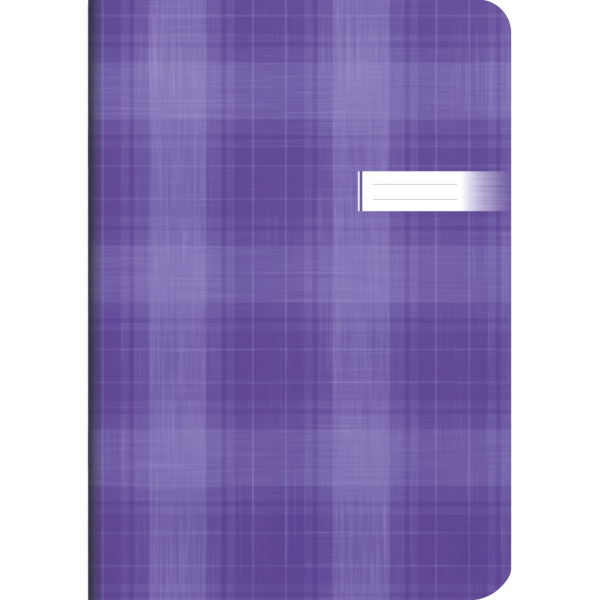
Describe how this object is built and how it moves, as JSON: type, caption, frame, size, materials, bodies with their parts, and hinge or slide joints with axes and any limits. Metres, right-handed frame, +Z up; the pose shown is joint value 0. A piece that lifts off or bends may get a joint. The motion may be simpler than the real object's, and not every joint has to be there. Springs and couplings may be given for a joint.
{
  "type": "vocabulary notebook",
  "caption": "Stapled A5 soft-cover notebook with rounded fore-edge corners and a stepped alphabetical thumb index; cover and leaves turn about the fold.",
  "frame": {"origin": "middle of the closed notebook's underside (outside of the back cover)", "axes": "+Z up through the front cover, +Y towards the head (top edge), +X towards the fore-edge; the fold is at -X"},
  "size_m": [0.1482, 0.21, 0.0065],
  "materials": {
    "cover_card": "laminated printed card, violet woven check, white uncoated inside",
    "leaf_paper": "uncoated white writing paper, ruled",
    "staple_wire": "bright zinc-plated steel wire"
  },
  "bodies": {
    "back_cover": {"back_cover": "cover_card", "cover_spine": "cover_card", "fold_a_xyz": "leaf_paper", "fold_b_w": "leaf_paper", "fold_c_v": "leaf_paper", "fold_d_u": "leaf_paper", "fold_e_t": "leaf_paper", "fold_f_s": "leaf_paper", "fold_g_r": "leaf_paper", "fold_h_q": "leaf_paper", "fold_i_p": "leaf_paper", "fold_j_o": "leaf_paper", "fold_k_n": "leaf_paper", "fold_l_m": "leaf_paper"},
    "front_cover": {"front_cover": "cover_card"},
    "staples": {"staple_head": "staple_wire", "staple_tail": "staple_wire"},
    "leaves_a": {"leaves_a": "leaf_paper"},
    "leaves_b": {"leaves_b": "leaf_paper"},
    "leaves_c": {"leaves_c": "leaf_paper"},
    "leaves_d": {"leaves_d": "leaf_paper"},
    "leaves_e": {"leaves_e": "leaf_paper"},
    "leaves_f": {"leaves_f": "leaf_paper"},
    "leaves_g": {"leaves_g": "leaf_paper"},
    "leaves_h": {"leaves_h": "leaf_paper"},
    "leaves_i": {"leaves_i": "leaf_paper"},
    "leaves_j": {"leaves_j": "leaf_paper"},
    "leaves_k": {"leaves_k": "leaf_paper"},
    "leaves_l": {"leaves_l": "leaf_paper"},
    "leaves_m": {"leaves_m": "leaf_paper"},
    "leaves_n": {"leaves_n": "leaf_paper"},
    "leaves_o": {"leaves_o": "leaf_paper"},
    "leaves_p": {"leaves_p": "leaf_paper"},
    "leaves_q": {"leaves_q": "leaf_paper"},
    "leaves_r": {"leaves_r": "leaf_paper"},
    "leaves_s": {"leaves_s": "leaf_paper"},
    "leaves_t": {"leaves_t": "leaf_paper"},
    "leaves_u": {"leaves_u": "leaf_paper"},
    "leaves_v": {"leaves_v": "leaf_paper"},
    "leaves_w": {"leaves_w": "leaf_paper"},
    "leaves_xyz": {"leaves_xyz": "leaf_paper"}
  },
  "joints": [
    {"name": "open_at_centre", "type": "hinge", "parent": "back_cover", "child": "leaves_a", "pos_m": [-0.07068, 0, 0.00326], "axis": [0, -1, 0], "range_deg": [0, 179.9], "deforming": ["cover_spine", "fold_a_xyz", "fold_b_w", "fold_c_v", "fold_d_u", "fold_e_t", "fold_f_s", "fold_g_r", "fold_h_q", "fold_i_p", "fold_j_o", "fold_k_n", "fold_l_m"]},
    {"name": "front_cover_hinge", "type": "hinge", "parent": "leaves_a", "child": "front_cover", "pos_m": [-0.06809, 0, 0.00657], "axis": [0, -1, 0], "range_deg": [0, 179.9]},
    {"name": "turn_b", "type": "hinge", "parent": "back_cover", "child": "leaves_b", "pos_m": [-0.07068, 0, 0.00326], "axis": [0, -1, 0], "range_deg": [0, 179.31]},
    {"name": "turn_c", "type": "hinge", "parent": "back_cover", "child": "leaves_c", "pos_m": [-0.07068, 0, 0.00326], "axis": [0, -1, 0], "range_deg": [0, 178.71]},
    {"name": "turn_d", "type": "hinge", "parent": "back_cover", "child": "leaves_d", "pos_m": [-0.07068, 0, 0.00326], "axis": [0, -1, 0], "range_deg": [0, 178.11]},
    {"name": "turn_e", "type": "hinge", "parent": "back_cover", "child": "leaves_e", "pos_m": [-0.07068, 0, 0.00326], "axis": [0, -1, 0], "range_deg": [0, 177.51]},
    {"name": "turn_f", "type": "hinge", "parent": "back_cover", "child": "leaves_f", "pos_m": [-0.07068, 0, 0.00326], "axis": [0, -1, 0], "range_deg": [0, 176.91]},
    {"name": "turn_g", "type": "hinge", "parent": "back_cover", "child": "leaves_g", "pos_m": [-0.07068, 0, 0.00326], "axis": [0, -1, 0], "range_deg": [0, 176.31]},
    {"name": "turn_h", "type": "hinge", "parent": "back_cover", "child": "leaves_h", "pos_m": [-0.07068, 0, 0.00326], "axis": [0, -1, 0], "range_deg": [0, 175.71]},
    {"name": "turn_i", "type": "hinge", "parent": "back_cover", "child": "leaves_i", "pos_m": [-0.07068, 0, 0.00326], "axis": [0, -1, 0], "range_deg": [0, 175.11]},
    {"name": "turn_j", "type": "hinge", "parent": "back_cover", "child": "leaves_j", "pos_m": [-0.07068, 0, 0.00326], "axis": [0, -1, 0], "range_deg": [0, 174.51]},
    {"name": "turn_k", "type": "hinge", "parent": "back_cover", "child": "leaves_k", "pos_m": [-0.07068, 0, 0.00326], "axis": [0, -1, 0], "range_deg": [0, 173.91]},
    {"name": "turn_l", "type": "hinge", "parent": "back_cover", "child": "leaves_l", "pos_m": [-0.07068, 0, 0.00326], "axis": [0, -1, 0], "range_deg": [0, 173.31]},
    {"name": "lift_m", "type": "hinge", "parent": "back_cover", "child": "leaves_m", "pos_m": [-0.07068, 0, 0.00326], "axis": [0, -1, 0], "range_deg": [0, 7.21]},
    {"name": "lift_n", "type": "hinge", "parent": "back_cover", "child": "leaves_n", "pos_m": [-0.07068, 0, 0.00326], "axis": [0, -1, 0], "range_deg": [0, 6.61]},
    {"name": "lift_o", "type": "hinge", "parent": "back_cover", "child": "leaves_o", "pos_m": [-0.07068, 0, 0.00326], "axis": [0, -1, 0], "range_deg": [0, 6.01]},
    {"name": "lift_p", "type": "hinge", "parent": "back_cover", "child": "leaves_p", "pos_m": [-0.07068, 0, 0.00326], "axis": [0, -1, 0], "range_deg": [0, 5.41]},
    {"name": "lift_q", "type": "hinge", "parent": "back_cover", "child": "leaves_q", "pos_m": [-0.07068, 0, 0.00326], "axis": [0, -1, 0], "range_deg": [0, 4.81]},
    {"name": "lift_r", "type": "hinge", "parent": "back_cover", "child": "leaves_r", "pos_m": [-0.07068, 0, 0.00326], "axis": [0, -1, 0], "range_deg": [0, 4.21]},
    {"name": "lift_s", "type": "hinge", "parent": "back_cover", "child": "leaves_s", "pos_m": [-0.07068, 0, 0.00326], "axis": [0, -1, 0], "range_deg": [0, 3.61]},
    {"name": "lift_t", "type": "hinge", "parent": "back_cover", "child": "leaves_t", "pos_m": [-0.07068, 0, 0.00326], "axis": [0, -1, 0], "range_deg": [0, 3.01]},
    {"name": "lift_u", "type": "hinge", "parent": "back_cover", "child": "leaves_u", "pos_m": [-0.07068, 0, 0.00326], "axis": [0, -1, 0], "range_deg": [0, 2.41]},
    {"name": "lift_v", "type": "hinge", "parent": "back_cover", "child": "leaves_v", "pos_m": [-0.07068, 0, 0.00326], "axis": [0, -1, 0], "range_deg": [0, 1.81]},
    {"name": "lift_w", "type": "hinge", "parent": "back_cover", "child": "leaves_w", "pos_m": [-0.07068, 0, 0.00326], "axis": [0, -1, 0], "range_deg": [0, 1.21]},
    {"name": "lift_xyz", "type": "hinge", "parent": "back_cover", "child": "leaves_xyz", "pos_m": [-0.07068, 0, 0.00326], "axis": [0, -1, 0], "range_deg": [0, 0.61]},
    {"name": "staple_turn", "type": "hinge", "parent": "back_cover", "child": "staples", "pos_m": [-0.07068, 0, 0.00326], "axis": [0, -1, 0], "range_deg": [0, 89.96]}
  ],
  "couplings": [
    {"joint": "turn_b", "follows": "open_at_centre", "ratio": 0.99666},
    {"joint": "turn_c", "follows": "open_at_centre", "ratio": 0.99333},
    {"joint": "turn_d", "follows": "open_at_centre", "ratio": 0.98999},
    {"joint": "turn_e", "follows": "open_at_centre", "ratio": 0.98666},
    {"joint": "turn_f", "follows": "open_at_centre", "ratio": 0.98332},
    {"joint": "turn_g", "follows": "open_at_centre", "ratio": 0.97999},
    {"joint": "turn_h", "follows": "open_at_centre", "ratio": 0.97665},
    {"joint": "turn_i", "follows": "open_at_centre", "ratio": 0.97332},
    {"joint": "turn_j", "follows": "open_at_centre", "ratio": 0.96998},
    {"joint": "turn_k", "follows": "open_at_centre", "ratio": 0.96665},
    {"joint": "turn_l", "follows": "open_at_centre", "ratio": 0.96331},
    {"joint": "lift_m", "follows": "open_at_centre", "ratio": 0.040022},
    {"joint": "lift_n", "follows": "open_at_centre", "ratio": 0.036687},
    {"joint": "lift_o", "follows": "open_at_centre", "ratio": 0.033352},
    {"joint": "lift_p", "follows": "open_at_centre", "ratio": 0.030017},
    {"joint": "lift_q", "follows": "open_at_centre", "ratio": 0.026681},
    {"joint": "lift_r", "follows": "open_at_centre", "ratio": 0.023346},
    {"joint": "lift_s", "follows": "open_at_centre", "ratio": 0.020011},
    {"joint": "lift_t", "follows": "open_at_centre", "ratio": 0.016676},
    {"joint": "lift_u", "follows": "open_at_centre", "ratio": 0.013341},
    {"joint": "lift_v", "follows": "open_at_centre", "ratio": 0.010006},
    {"joint": "lift_w", "follows": "open_at_centre", "ratio": 0.0066704},
    {"joint": "lift_xyz", "follows": "open_at_centre", "ratio": 0.0033352},
    {"joint": "staple_turn", "follows": "open_at_centre", "ratio": 0.5}
  ]
}
